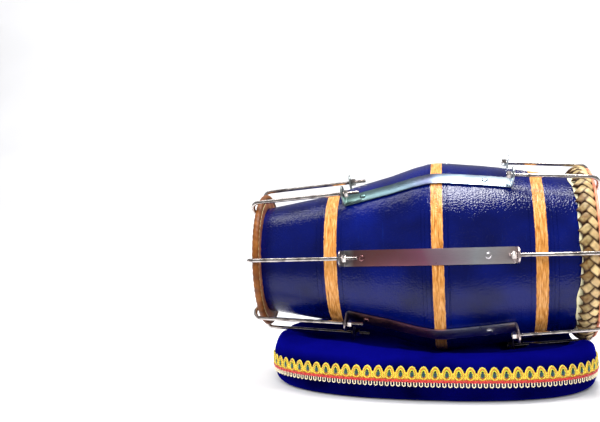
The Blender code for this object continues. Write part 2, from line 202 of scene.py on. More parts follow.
def painted_wood(looks):
    """Enamel sprayed on a turned mango-wood shell: deep gloss over fine tool lines, with
    the enamel cut back to bare varnished wood at the bands."""
    made, tree, shader, place = new_material("sprayed enamel on turned mango wood", 0.12,
                                             IOR=1.33)
    axial = add(tree, "SeparateXYZ", {0: place}, "X")
    edge = mottling(tree, place, 5.0, 2.0)
    shifted = add(tree, "Math", {0: edge, 1: 1.6 * MM, 2: axial}, operation="MULTIPLY_ADD")
    bare = 0.0
    for middle, half in WOOD_BANDS:
        here = add(tree, "Math", {0: shifted, 1: (middle + 0.8) * MM, 2: half * MM},
                   operation="COMPARE")
        bare = add(tree, "Math", {0: bare, 1: here}, operation="MAXIMUM")
    streak = mottling(tree, place, 1.5, 4.0, (1.0, 9.0, 9.0))
    wood = add(tree, "ValToRGB", {0: streak}, stops=(
        (0.30, "#7a4416"), (0.44, "#bd7a34"), (0.58, "#d79c58"), (0.78, "#ecc897")))
    broad = add(tree, "Math", {0: mottling(tree, place, 26.0, 2.0), 1: 0.3}, operation="MULTIPLY")
    wood = add(tree, "Mix", {0: broad, 6: wood, 7: linear("#c08038")}, 2, data_type="RGBA")
    paint = add(tree, "ValToRGB", {0: mottling(tree, place, 60.0, 2.0)},
                stops=((0.3, looks.paint_dark), (0.7, looks.paint)))
    rubbed = add(tree, "ValToRGB", {0: mottling(tree, place, 3.0, 3.0, (1.0, 12.0, 12.0))},
                 stops=((0.66, "#000000"), (0.74, "#ffffff")))
    rubbed = add(tree, "Math", {0: rubbed, 1: 0.25}, operation="MULTIPLY")
    paint = add(tree, "Mix", {0: rubbed, 6: paint, 7: linear("#0a2470")}, 2, data_type="RGBA")
    feed(shader, "Base Color", add(tree, "Mix", {0: bare, 6: paint, 7: wood}, 2,
                                   data_type="RGBA"))
    feed(shader, "Roughness", add(tree, "Math", {0: bare, 1: 0.2, 2: 0.11},
                                  operation="MULTIPLY_ADD"))
    lines = mottling(tree, place, 1.1, 2.0, (1.0, 60.0, 60.0))
    peel = mottling(tree, place, 2.4, 1.0)
    fibres = add(tree, "Math", {0: streak, 1: bare}, operation="MULTIPLY")
    thick = add(tree, "Math", {0: 1.0, 1: bare}, operation="SUBTRACT")
    relief(tree, shader, (lines, 0.16), (peel, 0.55), (fibres, 0.18), (thick, 0.12))
    return made


def polished_steel(looks):
    """Buffed stainless strip: lengthwise polishing lines, with painted reflections: rosy and
    violet tints that run along the drum, turning green, teal and blue on the upper straps."""
    made, tree, shader, place = new_material("buffed stainless strip", 0.2, 1.0)
    axial = add(tree, "SeparateXYZ", {0: place}, "X")
    height = add(tree, "SeparateXYZ", {0: place}, "Z")
    # Painted reflection: the tint runs along the drum and drifts with mottling, standing in for
    # what the straps mirror.
    share = add(tree, "Math", {0: axial, 1: 1000.0 / REFLECTION_LENGTH, 2: 0.50},
                operation="MULTIPLY_ADD")
    drift = add(tree, "Math", {0: mottling(tree, place, 62.0, 1.0), 1: 0.5},
                operation="SUBTRACT")
    share = add(tree, "Math", {0: drift, 1: 0.35, 2: share}, operation="MULTIPLY_ADD")
    rosy = add(tree, "ValToRGB", {0: share}, stops=(
        (0.0, "#a8a0a0"), (0.06, "#7a3c36"), (0.22, "#a4504e"), (0.42, "#d4789e"),
        (0.54, "#e2c4d6"), (0.66, "#f4f6fc"), (0.80, "#f4ecee"), (0.92, "#f2d6cc"),
        (1.0, "#efe8e4")))
    green = add(tree, "ValToRGB", {0: share}, stops=(
        (0.0, "#9aa4a2"), (0.06, "#4e7f72"), (0.28, "#436c78"), (0.46, "#48507c"),
        (0.60, "#b8d2e6"), (1.0, "#e6f0f6")))
    # Painted reflection: the upper straps take the green tints, the lower ones the rosy tints.
    upper = add(tree, "Math", {0: height, 1: 20.0, 2: -4.0}, operation="MULTIPLY_ADD")
    upper = add(tree, "Math", {0: upper, 1: 0.0}, operation="MAXIMUM")
    upper = add(tree, "Math", {0: upper, 1: 1.0, 2: 0.2}, operation="SMOOTH_MIN")
    painted_reflection = add(tree, "Mix", {0: upper, 6: rosy, 7: green}, 2, data_type="RGBA")
    base = add(tree, "Mix", {0: looks.painted_reflection, 6: looks.steel, 7: painted_reflection}, 2, data_type="RGBA")
    marks = mottling(tree, place, 0.8, 3.0, (40.0, 1.0, 1.0))
    faint = add(tree, "Math", {0: marks, 1: 0.35}, operation="MULTIPLY")
    base = add(tree, "Mix", {0: faint, 6: base, 7: linear("#8d9098")}, 2, data_type="RGBA")
    feed(shader, "Base Color", base)
    feed(shader, "Roughness", add(tree, "Math", {0: mottling(tree, place, 14.0), 1: 0.25, 2: 0.2},
                                  operation="MULTIPLY_ADD"))
    relief(tree, shader, (marks, 0.012), (mottling(tree, place, 30.0, 1.0), 0.15))
    return made


def nickel_plate(looks):
    """Nickel-plated mild steel rod and nuts: bright, a little warm, with faint die marks."""
    made, tree, shader, place = new_material("nickel-plated mild steel", 0.2, 1.0)
    worn = mottling(tree, place, 9.0, 4.0)
    feed(shader, "Base Color", add(tree, "ValToRGB", {0: worn}, stops=(
        (0.30, "#7d7472"), (0.5, looks.nickel), (0.75, "#e6e0dc"))))
    feed(shader, "Roughness", add(tree, "Math", {0: worn, 1: 0.25, 2: 0.08},
                                  operation="MULTIPLY_ADD"))
    relief(tree, shader, (mottling(tree, place, 0.9, 2.0, (30.0, 1.0, 1.0)), 0.02))
    return made


def hide(name, dark, middle, light, roughness, grain, height):
    """Dried animal hide: mottled, with pores, and a dull sheen."""
    made, tree, shader, place = new_material(name, roughness, IOR=1.48)
    tone = mottling(tree, place, grain * 9, 4.0)
    pores = mottling(tree, place, grain, 3.0)
    base = add(tree, "ValToRGB", {0: tone}, stops=((0.12, dark), (0.5, middle), (0.88, light)))
    pitted = add(tree, "ValToRGB", {0: pores}, stops=((0.3, dark), (0.6, light)))
    feed(shader, "Base Color", add(tree, "Mix", {0: 0.25, 6: base, 7: pitted}, 2,
                                   data_type="RGBA", blend_type="SOFT_LIGHT"))
    feed(shader, "Roughness", add(tree, "Math", {0: tone, 1: 0.25, 2: roughness - 0.1},
                                  operation="MULTIPLY_ADD"))
    relief(tree, shader, (pores, height), (tone, height * 2))
    return made


def tuning_paste():
    """Burnished paste of iron dust and boiled rice: near black, split into fine scales by
    the rubbing stone, with a dull metallic glint."""
    made, tree, shader, place = new_material("burnished iron paste", 0.42, IOR=1.6)
    cell = add(tree, "TexVoronoi", {"Vector": place, "Scale": 1000.0 / 2.6},
               feature="DISTANCE_TO_EDGE")
    scale = add(tree, "ValToRGB", {0: cell}, stops=((0.0, "#000000"), (0.10, "#ffffff")))
    base = add(tree, "ValToRGB", {0: mottling(tree, place, 7.0)},
               stops=((0.3, "#0e0e10"), (0.7, "#2b2b30")))
    feed(shader, "Base Color", add(tree, "Mix", {0: scale, 6: linear("#050505"), 7: base}, 2,
                                   data_type="RGBA"))
    relief(tree, shader, (scale, 0.12), (mottling(tree, place, 0.7), 0.04))
    return made


def plaited_leather(looks):
    """Thin goat-hide strips plaited wet and dried hard: each strip has its own tone and a fine
    grain, with painted shade darkening each strip towards its edges, where the strips meet."""
    made, tree, shader, place = new_material("plaited goat-hide strip", 0.55, IOR=1.48)
    tone = add(tree, "Attribute", output="Fac", attribute_name="tone")
    mottle = mottling(tree, place, 5.0, 4.0)
    stain = add(tree, "Math", {0: mottle, 1: 0.5}, operation="SUBTRACT")
    stain = add(tree, "Math", {0: stain, 1: 0.55, 2: tone}, operation="MULTIPLY_ADD")
    base = add(tree, "ValToRGB", {0: stain}, stops=(
        (0.02, "#2e1a0b"), (0.28, looks.plait_dark), (0.50, "#968458"), (0.70, "#c2a474"),
        (0.92, looks.plait_light)))
    # Painted shade: each tile is darkened towards its rim, where the strips meet.
    rim = add(tree, "Attribute", output="Fac", attribute_name="rim")
    rim = add(tree, "ValToRGB", {0: rim}, stops=((0.60, "#000000"), (1.0, "#ffffff")))
    feed(shader, "Base Color", add(tree, "Mix", {0: rim, 6: base, 7: linear("#3a2008")}, 2,
                                   data_type="RGBA"))
    relief(tree, shader, (mottling(tree, place, 0.8), 0.12), (mottle, 0.2))
    return made


def cotton_velvet(looks):
    """Cotton velvet: short upright pile that goes dark face-on and lights up at grazing angles,
    brushed into soft patches, with painted light on the pile over the crest."""
    made, tree, shader, place = new_material("cotton velvet", 0.95, Sheen_Weight=0.4,
                                             Sheen_Roughness=0.4, Specular_IOR_Level=0.0)
    shader.inputs["Sheen Tint"].default_value = looks.pile
    patches = mottling(tree, place, 60.0, 2.0)
    pile = mottling(tree, place, 1.1, 2.0)              # real pile is 0.3 mm, drawn coarser
    base = add(tree, "ValToRGB", {0: patches},
               stops=((0.32, looks.velvet_dark), (0.68, looks.velvet)))
    ends = add(tree, "ValToRGB", {0: pile}, stops=((0.3, looks.velvet_dark), (0.7, looks.pile)))
    base = add(tree, "Mix", {0: 0.5, 6: base, 7: ends}, 2, data_type="RGBA",
               blend_type="SOFT_LIGHT")
    # Painted light: high on the pad the pile is coloured the brighter crest blue, as if lit from
    # above.
    height = add(tree, "SeparateXYZ", {0: place}, "Z")
    crest = add(tree, "Math", {0: patches, 1: 14.0 * MM, 2: height}, operation="MULTIPLY_ADD")
    crest = add(tree, "Math", {0: crest, 1: 10.0}, operation="MULTIPLY")
    crest = add(tree, "ValToRGB", {0: crest}, stops=((0.48, "#000000"), (0.62, "#ffffff")))
    feed(shader, "Base Color", add(tree, "Mix", {0: crest, 6: base, 7: looks.velvet_painted_light}, 2,
                                   data_type="RGBA"))
    relief(tree, shader, (pile, 0.28), (patches, 0.5))
    return made


def thread(name, dark, light):
    """Twisted rayon thread: fine diagonal plies, drawn 1.6 mm apart so that they show."""
    made, tree, shader, place = new_material(name, 0.5, Sheen_Weight=0.3)
    plies = add(tree, "TexWave", {"Vector": place, "Scale": 1000.0 / PLY_REPEAT,
                                  "Distortion": 1.5}, "Fac", bands_direction="DIAGONAL")
    worn = add(tree, "Math", {0: mottling(tree, place, 6.0), 1: 0.5}, operation="MULTIPLY")
    worn = add(tree, "Math", {0: plies, 1: 0.5, 2: worn}, operation="MULTIPLY_ADD")
    feed(shader, "Base Color", add(tree, "ValToRGB", {0: worn},
                                   stops=((0.2, dark), (0.75, light))))
    relief(tree, shader, (plies, 0.10))
    return made


def pale_floor(looks):
    """Seamless studio paper, faintly mottled."""
    made, tree, shader, place = new_material("studio paper", 0.85)
    feed(shader, "Base Color", add(tree, "ValToRGB", {0: mottling(tree, place, 400.0, 2.0)},
                                   stops=((0.3, looks.floor), (0.7, "#e4e4e6"))))
    return made


# ---- modelling by hand --------------------------------------------------------------
def linked(name, data):
    """A new object with this data, linked into the scene."""
    made = bpy.data.objects.new(name, data)
    bpy.context.collection.objects.link(made)
    return made


def bevelled(piece, width, above, segments=2):
    """Round the edges sharper than an angle, to a width in millimetres."""
    modified(piece, "BEVEL", width=width * MM, segments=segments, limit_method="ANGLE",
             angle_limit=radians(above))


def mode(name):
    bpy.ops.object.mode_set(mode=name)


def editing(choice="SELECT"):
    """Enter edit mode with all of the active piece selected, or none of it."""
    mode("EDIT")
    bpy.ops.mesh.select_all(action=choice)


def extruded(step):
    bpy.ops.mesh.extrude_region_move(TRANSFORM_OT_translate={"value": step})


def take(*pieces):
    """Leave edit mode, and select only these pieces, the first one active."""
    if bpy.context.object and bpy.context.object.mode != "OBJECT":
        mode("OBJECT")
    bpy.ops.object.select_all(action="DESELECT")
    for piece in pieces:
        piece.select_set(True)
    bpy.context.view_layer.objects.active = pieces[0] if pieces else None


def named(name):
    """Name the object that was just added, and put its place into its mesh."""
    piece = bpy.context.object
    piece.name = piece.data.name = name
    bpy.ops.object.transform_apply(location=True, rotation=True, scale=True)
    return piece


def modified(piece, kind, **settings):
    """Add a modifier with these settings and apply it."""
    take(piece)
    made = piece.modifiers.new(kind.lower(), kind)
    for key, value in settings.items():
        setattr(made, key, value)
    bpy.ops.object.modifier_apply(modifier=made.name)


def closed_up(piece, crease=35.0):
    """Merge doubled points, point the faces outwards and shade smooth up to an angle."""
    take(piece)
    editing()
    bpy.ops.mesh.remove_doubles(threshold=WELD)
    bpy.ops.mesh.normals_make_consistent(inside=False)
    mode("OBJECT")
    bpy.ops.object.shade_smooth_by_angle(angle=radians(crease))
    return piece


def joined(*pieces):
    take(*pieces)
    bpy.ops.object.join()
    return pieces[0]


def turned(name, profile, steps, height=AXIS, crease=35.0):
    """Extrude a ring from point to point of a profile of (axial, radius), about X."""
    at, radius = profile[0]
    radius = max(radius, TINY)
    take()
    bpy.ops.mesh.primitive_circle_add(vertices=steps, radius=radius * MM,
                                      rotation=(0.0, radians(90.0), 0.0),
                                      location=(at * MM, 0.0, height))
    piece = named(name)
    mode("EDIT")
    for to, wide in profile[1:]:
        wide = max(wide, TINY)
        extruded(((to - at) * MM, 0.0, 0.0))
        bpy.ops.transform.resize(value=(1.0, wide / radius, wide / radius),
                                 center_override=(to * MM, 0.0, height))
        at, radius = to, wide
    return closed_up(piece, crease)


def ribbon(name, rows):
    """Extrude an edge along Z from row to row of (point, half width)."""
    start, half = rows[0]
    take()
    bpy.ops.mesh.primitive_plane_add(size=2 * half * MM, rotation=(radians(90.0), 0.0, 0.0),
                                     location=start * MM)
    piece = named(name)
    editing()
    bpy.ops.transform.resize(value=(0.0, 1.0, 1.0), center_override=start * MM)
    bpy.ops.mesh.remove_doubles(threshold=WELD)
    for point, wide in rows[1:]:
        extruded((point - start) * MM)
        bpy.ops.transform.resize(value=(1.0, 1.0, wide / half), center_override=point * MM)
        start, half = point, wide
    mode("OBJECT")
    return piece


def tube(name, line, radius, rounds=2):
    """A round bar along a line of points, all in millimetres, with closed ends."""
    take()
    curve = bpy.data.curves.new(name, "CURVE")
    curve.dimensions = "3D"
    spline = curve.splines.new("POLY")
    spline.points.add(len(line) - 1)
    for slot, point in zip(spline.points, line):
        slot.co = (*(Vector(point) * MM), 1.0)
    curve.bevel_depth = radius * MM
    curve.bevel_resolution = rounds
    curve.use_fill_caps = True
    take(linked(name, curve))
    bpy.ops.object.convert(target="MESH")
    return bpy.context.object


def cut(piece, tool):
    """Cut the tool's shape out of the piece, and remove the tool."""
    modified(piece, "BOOLEAN", operation="DIFFERENCE", solver="EXACT", object=tool)
    bpy.data.objects.remove(tool)


def bar(radius, base, towards, length, sides=24):
    """A round bar from a base point along a direction, in millimetres."""
    take()
    turn = Vector(towards).to_track_quat("Z", "Y").to_euler()
    middle = (Vector(base) + Vector(towards) * length / 2) * MM
    bpy.ops.mesh.primitive_cylinder_add(vertices=sides, radius=radius * MM, depth=length * MM,
                                        location=middle, rotation=turn)
    return named("bar")


def spread(line, steps):
    """Points of a smooth curve through a line of points."""
    ends = [line[0] * 2 - line[1], *line, line[-1] * 2 - line[-2]]
    made = []
    for a, b, c, d in zip(ends, ends[1:], ends[2:], ends[3:]):
        for k in range(steps):
            t = k / steps
            made.append(0.5 * (2 * b + (c - a) * t + (2 * a - 5 * b + 4 * c - d) * t * t
                               + (3 * b - a - 3 * c + d) * t ** 3))
    return made + [line[-1]]


def around(angle):
    """From the strap frame, facing -Y with the axis at height 0, to its place on the drum."""
    return Matrix.Translation((0.0, 0.0, AXIS)) @ Matrix.Rotation(-radians(angle), 4, "X")


def strap_angle(index):
    return FIRST_ANGLE + 360.0 * index / STRAPS


def dress(piece, look, body, slot, *nodes):
    """Give a piece its material and body, and hide the nodes it replaces; the slot is not used.
    """
    if look:
        piece.data.materials.clear()
        piece.data.materials.append(look)
    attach(piece, body)
    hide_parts(*nodes)


def repeated(master, name, node, look, slot, body=None):
    """Copy a master round the drum, one for each strap, and remove the master."""
    for index in range(STRAPS):
        number = index + 1
        copy = master.copy()
        copy.data = master.data.copy()
        copy.name = copy.data.name = f"{name}_{number}"
        bpy.context.collection.objects.link(copy)
        copy.data.transform(around(strap_angle(index)))
        dress(copy, look, body or f"{node}_{number}", slot, f"{node}_{number}")
    bpy.data.objects.remove(master)


def stood(piece, axis, towards, at):
    """Turn a piece's axis to a direction, and move it to a point in millimetres."""
    turn = Vector(axis).rotation_difference(towards).to_matrix()
    piece.data.transform(Matrix.Translation(at * MM) @ turn.to_4x4())


def clamped(value):
    return max(0.0, min(1.0, value))


def off_axis(place):
    """How far a place is from the drum's axis, in metres."""
    return hypot(place.y, place.z - AXIS)


def table(points, at):
    """Straight-line interpolation in a list of (position, value)."""
    for (a0, v0), (a1, v1) in zip(points, points[1:]):
        if at <= a1:
            return v0 + (v1 - v0) * (at - a0) / (a1 - a0)
    return points[-1][1]


def point(axial, radius):
    """A point in the strap frame, millimetres."""
    return Vector((axial, -radius, 0.0))


def outward(axial):
    slope = (table(SHELL_OUTER, axial + 4) - table(SHELL_OUTER, axial - 4)) / 8
    return Vector((-slope, -1.0, 0.0)).normalized()


def rod_direction(side):
    return (point(*RING_ROD[side]) - point(*EARS[side])).normalized()


def nut_middle(side):
    return point(*EARS[side]) - rod_direction(side) * NUT_BACK


# ---- settings ----------------------------------------------------------------------
def colour(label, text, value):
    return FloatVectorProperty(name=label, description=text, subtype="COLOR", size=4,
                               min=0.0, max=1.0, default=linear(value))


def power(label, text, value):
    return FloatProperty(name=label, description=text, min=0.0, default=value, unit="POWER")


class ShellLooks(bpy.types.PropertyGroup):
    paint: colour("Paint", "Enamel where it is thick", "#020f5c")
    paint_dark: colour("Thin paint", "Enamel where it is thin", "#01063a")


class MetalLooks(bpy.types.PropertyGroup):
    steel: colour("Steel", "Stainless straps and screws", "#d4d6da")
    nickel: colour("Nickel", "Plated rods and nuts", "#c8bfba")
    # How strongly the painted reflection colours cover the steel.
    painted_reflection: FloatProperty(name="Painted reflection", description="Strength of the painted reflection colours",
                        min=0.0, max=1.0, default=0.92, subtype="FACTOR")


class HeadLooks(bpy.types.PropertyGroup):
    plait_light: colour("Light strip", "Plaited strips at their palest", "#e6c88e")
    plait_dark: colour("Dark strip", "Plaited strips at their darkest", "#6b4a22")
    tiles: IntProperty(name="Crossings", description="Crossings of the plait round the rim",
                       min=20, max=90, default=48)


class CushionLooks(bpy.types.PropertyGroup):
    velvet: colour("Velvet", "Pile brushed up", "#05054c")
    velvet_dark: colour("Velvet shade", "Pile brushed down", "#020226")
    # The crest colour is painted light: the pile over the crest is drawn brighter blue, as if lit
    # from above.
    velvet_painted_light: colour("Velvet crest", "Painted light on the pile over the crest", "#050566")
    pile: colour("Pile ends", "Light caught by the pile", "#1418c8")
    voxel: FloatProperty(name="Mesh size", description="Size of the pad's faces before sewing",
                         min=0.003, max=0.01, default=0.005, unit="LENGTH")
    pressure: FloatProperty(name="Stuffing", description="Pressure of the stuffing",
                            min=0.0, max=10.0, default=4.0)
    swell: FloatProperty(name="Swell", description="Most that the stuffing moves the cloth",
                         min=0.0, max=0.02, default=0.006, unit="LENGTH")


class StageLooks(bpy.types.PropertyGroup):
    floor: colour("Floor", "Studio paper", "#dcdcde")
    key_power: power("Key light", "Power of the overhead soft box", 22.0)
    fill_power: power("Fill light", "Power of the soft box at the left", 22.0)
    front_power: power("Front light", "Power of the soft box in front", 75.0)
    backdrop_power: power("Backdrop light", "Power on the backdrop", 120.0)
    ambient: FloatProperty(name="Ambient", description="Light from the rest of the room",
                           min=0.0, max=1.0, default=0.3)
    lens: FloatProperty(name="Lens", description="Focal length for a 36 mm sensor",
                        min=10.0, default=54.84, unit="CAMERA")


# ---- operators -----------------------------------------------------------------------
class DRUM_OT_shell(bpy.types.Operator):
    """Turn the wooden shell, with its grooves, and paint it"""
    bl_idname = "drum.shell"
    bl_label = "Shell"

    def execute(self, context):
        outer = {at: radius for at, radius in SHELL_OUTER}
        first, last = SHELL_OUTER[0][0], SHELL_OUTER[-1][0]
        for k in range(1, int((last - first) / SHELL_STATION)):
            at = first + k * SHELL_STATION
            if all(abs(at - groove) > 3.0 for groove, _, _ in GROOVES):
                outer[at] = table(SHELL_OUTER, at)
        for at, wide, deep in GROOVES:
            for side, drop in ((-0.5, 0.0), (-0.25, deep), (0.25, deep), (0.5, 0.0)):
                here = at + side * wide
                outer[here] = table(SHELL_OUTER, here) - drop
        profile = sorted(outer.items()) + SHELL_INNER + SHELL_OUTER[:1]
        shell = turned("shell_turned", profile, SHELL_STEPS)
        dress(shell, painted_wood(context.scene.drum_shell), "drum", "painted_wood", "shell")
        return {"FINISHED"}


class DRUM_OT_straps(bpy.types.Operator):
    """Bend the seven straps and set their pan-head screws"""
    bl_idname = "drum.straps"
    bl_label = "Straps and screws"

    def ear(self, side):
        """Rows from the rounded tip down to the bend, and where the strap meets the shell."""
        sign = -1.0 if side == "treble" else 1.0
        lean = radians(EAR_LEAN)
        up = Vector((sign * sin(lean), -cos(lean), 0.0))
        hole = point(*EARS[side])
        rows = []
        for k in range(9):
            t = radians(6.0 + 84.0 * k / 8)
            rows.append((hole + up * (EAR_TIP * cos(t)), STRAP_HALF * sin(t)))
        seat = self.radius(hole.x - sign * BEND_RADIUS)
        foot = hole - up * ((-hole.y - seat - BEND_RADIUS) / cos(lean))
        rows.append((foot, STRAP_HALF))
        for share in (0.35, 0.65, 0.9):
            t = radians(90.0 * share)
            step = Vector((-sign * BEND_RADIUS * (1 - cos(t)), BEND_RADIUS * sin(t), 0))
            rows.append((foot + step, STRAP_HALF))
        return rows, foot.x - sign * BEND_RADIUS * 1.05

    def radius(self, axial):
        """Radius of the strap's middle over the shell, clear of its corners."""
        chord = (table(SHELL_OUTER, axial - 3) + table(SHELL_OUTER, axial + 3)) / 2
        return max(table(SHELL_OUTER, axial), chord) + SEAT_GAP + STRAP_THICK / 2

    def execute(self, context):
        steel = polished_steel(context.scene.drum_metal)
        treble, first = self.ear("treble")
        bass, last = self.ear("bass")
        stations = [first] + [first + (last - first) * k / 40 for k in range(1, 40)] + [last]
        rows = treble + [(point(a, self.radius(a)), STRAP_HALF) for a in stations]
        strap = ribbon("strap", rows + bass[::-1])
        modified(strap, "SOLIDIFY", thickness=STRAP_THICK * MM, offset=0.0)
        for side in EARS:
            along = rod_direction(side)
            cut(strap, bar(EAR_HOLE, point(*EARS[side]) - along * 6, along, 12.0))
        bevelled(strap, 0.35, 40.0)
        closed_up(strap, 30.0)
        repeated(strap, "strap_buffed", "strap", steel, "bright_steel", "drum")
        for side in SCREWS:
            dome = [(-6.0, 0.0), (-6.0, 1.6), (0.1, 1.6), (0.1, SCREW_HEAD), (0.7, SCREW_HEAD),
                    (1.3, SCREW_HEAD * 0.9), (1.8, SCREW_HEAD * 0.6), (2.0, 0.0)]
            screw = turned("screw", dome, 20, 0.0)
            cut(screw, bar(0.5, (1.4, -5.0, 0.0), (0.0, 1.0, 0.0), 10.0, 4))
            at = SCREWS[side]
            seat = point(at, self.radius(at)) + outward(at) * STRAP_THICK / 2
            stood(screw, (1.0, 0.0, 0.0), outward(at), seat)
            repeated(screw, f"{side}_screw_slotted", f"{side}_screw", steel, "bright_steel",
                     "drum")
        return {"FINISHED"}


class DRUM_OT_rods(bpy.types.Operator):
    """Bend the hook rods, thread the treble ones and put a hexagon nut on each"""
    bl_idname = "drum.rods"
    bl_label = "Hook rods and nuts"

    def rod(self, side):
        middle, along = nut_middle(side), rod_direction(side)
        tail = middle - along * (NUT_HIGH / 2 + TAIL[side])
        bend = [point(*RING_ROD[side])] + [point(a, r) for a, r in CROOKS[side]]
        start = tail
        thread_part = None
        if side == "treble":
            start = middle + along * THREAD_PAST_NUT
            turns = int((start - tail).length / THREAD_PITCH)
            profile = [(0.0, 0.0), (0.0, ROD - THREAD_DEPTH)]
            for k in range(turns):
                profile += [((k + 0.5) * THREAD_PITCH, ROD),
                            ((k + 1) * THREAD_PITCH, ROD - THREAD_DEPTH)]
            profile.append((turns * THREAD_PITCH, 0.0))
            thread_part = turned("thread", profile, 12, 0.0, 20.0)
            stood(thread_part, (1.0, 0.0, 0.0), along, tail)
        made = tube("rod", [start, bend[0] - along * 12] + spread(bend, 4), ROD, 4)
        closed_up(made, 60.0)
        return joined(made, thread_part) if thread_part else made

    def nut(self, side):
        take()
        bpy.ops.mesh.primitive_cylinder_add(vertices=6, radius=NUT_FLATS / sqrt(3.0) * MM,
                                            depth=NUT_HIGH * MM)
        made = named("nut")
        bevelled(made, 0.55, 70.0)
        cut(made, bar(ROD + 0.15, (0.0, 0.0, -NUT_HIGH), (0.0, 0.0, 1.0), NUT_HIGH * 2))
        stood(made, (0.0, 0.0, 1.0), rod_direction(side), nut_middle(side))
        return closed_up(made, 30.0)

    def execute(self, context):
        nickel = nickel_plate(context.scene.drum_metal)
        for side in EARS:
            repeated(self.rod(side), f"{side}_hook_rod", f"{side}_hook", nickel, "nickel_rod")
            repeated(self.nut(side), f"{side}_hex_nut", f"{side}_nut", nickel, "bright_steel")
        return {"FINISHED"}


class DRUM_OT_treble_head(bpy.types.Operator):
    """Wind the treble hoop and stretch its skin, outer hide and tuning paste"""
    bl_idname = "drum.treble_head"
    bl_label = "Treble head"

    def execute(self, context):
        at, radius = HOOP_AT
        take()
        bpy.ops.mesh.primitive_torus_add(major_segments=HOOP_RIBS * 4, minor_segments=14,
                                         major_radius=radius * MM, minor_radius=HOOP * MM,
                                         location=(at * MM, 0.0, AXIS),
                                         rotation=(0.0, radians(90.0), 0.0))
        hoop = named("treble_hoop_wound")
        for vertex in hoop.data.vertices:
            y, z = vertex.co.y, vertex.co.z - AXIS
            round_drum = atan2(z, y)
            core = Vector((at * MM, cos(round_drum) * radius * MM,
                           AXIS + sin(round_drum) * radius * MM))
            out = vertex.co - core
            round_hoop = atan2(out.x, hypot(y, z) - radius * MM)
            rib = 0.5 - 0.5 * cos(HOOP_RIBS * round_drum + round_hoop)
            vertex.co = core + out * (1.0 - 0.12 * rib ** 3)
        closed_up(hoop, 60.0)
        leather = hide("wound saddle hide", "#3a1c06", "#78440f", "#a06a28", 0.55, 1.2, 0.15)
        dress(hoop, leather, "drum", "stitched_hide", "treble_hoop")

        skin = turned("treble_skin_stretched",
                      [(-233.5, 0.0), (-233.5, 60.0), (-233.5, 81.5), (-232.9, 82.0),
                       (-232.3, 81.6), (-231.6, 78.0), (-231.4, 74.0), (-231.8, 71.9),
                       (-232.2, 71.6), (-232.2, 0.0)], 180)
        for vertex in skin.data.vertices:
            if vertex.co.x > TUCK_AT[0] and off_axis(vertex.co) > TUCK_AT[1]:
                turn = atan2(vertex.co.z - AXIS, vertex.co.y)
                vertex.co.x += 0.0004 * sin(45 * turn) + 0.0004 * sin(11 * turn + 1)
        raw = hide("scraped goat rawhide", "#9a8a4a", "#cdbd8c", "#e6dab2", 0.45, 1.5, 0.06)
        dress(skin, raw, "drum", "goat_skin", "treble_skin")
        lining = hide("tucked hide lining", "#5a2f16", "#93583a", "#ae8450", 0.6, 1.4, 0.15)
        skin.data.materials.append(lining)
        for face in skin.data.polygons:
            face.material_index = int(face.center.x > -0.2326)
        flap = turned("treble_outer_ring",
                      [(-233.8, 48.0), (-233.8, 79.0), (-234.5, 79.3), (-235.0, 78.6),
                       (-235.0, 49.2), (-234.6, 48.1), (-233.8, 48.0)], 128)
        tan = hide("oiled outer hide", "#a97b48", "#d1a66e", "#e8cb9c", 0.5, 1.3, 0.07)
        dress(flap, tan, "drum", "outer_hide", "treble_outer_flap")
        paste = turned("treble_paste_spot",
                       [(-233.8, 0.0), (-233.8, 27.0), (-234.5, 26.8), (-235.0, 24.0),
                        (-235.1, 19.5), (-235.6, 18.5), (-235.7, 12.0), (-236.1, 11.0),
                        (-236.4, 0.0)], 96)
        dress(paste, tuning_paste(), "drum", "tuning_paste", "treble_tuning_paste")
        return {"FINISHED"}


class DRUM_OT_bass_head(bpy.types.Operator):
    """Fold the bass skin over the rim, with its pink outer hide and inner paste"""
    bl_idname = "drum.bass_head"
    bl_label = "Bass head"

    def execute(self, context):
        seat = table(SHELL_OUTER, COLLAR_FROM) + 0.4
        skin = turned("bass_skin_folded",
                      [(190.5, 0.0), (190.5, 60.0), (190.5, 100.2), (190.1, 101.7),
                       (188.6, 102.2), (181.0, 103.2), (175.0, 104.0),
                       (COLLAR_FROM + 1.0, seat + 1.3), (COLLAR_FROM, seat + 0.7),
                       (COLLAR_FROM + 0.6, seat), (189.3, 100.85), (189.3, 0.0)], 200)
        for vertex in skin.data.vertices:
            turn = atan2(vertex.co.z - AXIS, -vertex.co.y)
            wave = (2.2 * sin(3 * turn + 0.6) + 1.5 * sin(7 * turn + 2.0)
                    + 0.7 * sin(19 * turn))
            share = clamped((WAVY_FROM - vertex.co.x) / WAVY_LONG)
            if off_axis(vertex.co) > WAVY_OUTSIDE:
                vertex.co.x += share * (wave + 1.0) * MM
        raw = hide("limed goat rawhide", "#a39c72", "#dcd3ac", "#efe9d0", 0.42, 1.6, 0.08)
        dress(skin, raw, "drum", "goat_skin", "bass_skin")
        flap = turned("bass_pink_ring",
                      [(192.2, 62.0), (192.2, 100.6), (193.6, 102.8), (195.2, 104.2),
                       (196.2, 107.6), (196.2, 108.9), (195.6, 110.4), (194.6, 110.9),
                       (193.9, 110.8), (192.8, 109.4), (192.8, 104.8), (192.2, 104.0),
                       (190.8, 103.4), (190.8, 62.0), (192.2, 62.0)], 160)
        pink = hide("dyed goat hide", "#b8634a", "#dd8f74", "#efb79e", 0.55, 1.1, 0.12)
        dress(flap, pink, "drum", "dyed_hide", "bass_outer_flap")
        paste = turned("bass_paste_patch",
                       [(189.0, 0.0), (189.0, 36.0), (188.4, 35.6), (187.6, 27.0),
                        (187.1, 0.0)], 64)
        dress(paste, tuning_paste(), "drum", "tuning_paste", "bass_tuning_paste")
        return {"FINISHED"}


